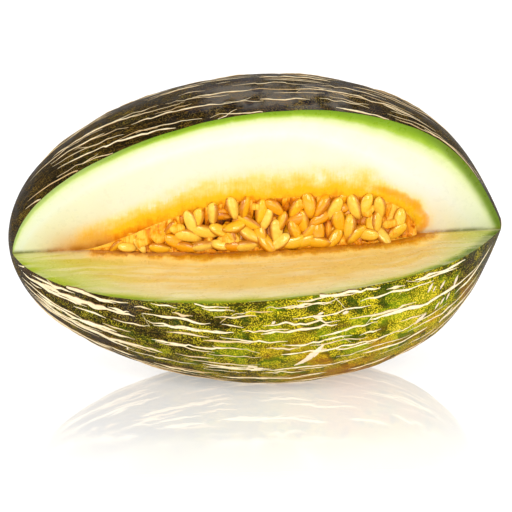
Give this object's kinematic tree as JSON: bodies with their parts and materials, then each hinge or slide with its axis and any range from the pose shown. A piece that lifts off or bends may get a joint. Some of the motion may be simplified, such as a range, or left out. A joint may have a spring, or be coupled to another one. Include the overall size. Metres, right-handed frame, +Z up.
{
  "type": "piel de sapo melon with a slice cut out",
  "caption": "Oval melon with a raised net on its green rind, lying on its side, with a long slice cut out of the front to show flesh, pulp and seeds.",
  "frame": {"origin": "on the small flat spot that the melon rests on, straight below the long axis at the widest section", "axes": "+X along the long axis to the stem end, -Y to the front that the slice was cut out of, +Z up"},
  "size_m": [0.253, 0.1582, 0.1572],
  "materials": {
    "rind": "mottled dark green and yellow rind with a pale raised net",
    "flesh": "wet cut flesh, lime green under the rind, cream white inside it and orange by the seeds",
    "seeds_and_pulp": "wet cream to orange seeds in orange pulp"
  },
  "bodies": {
    "root": {"melon_body": "rind", "seed_cluster": "seeds_and_pulp"}
  },
  "joints": []
}
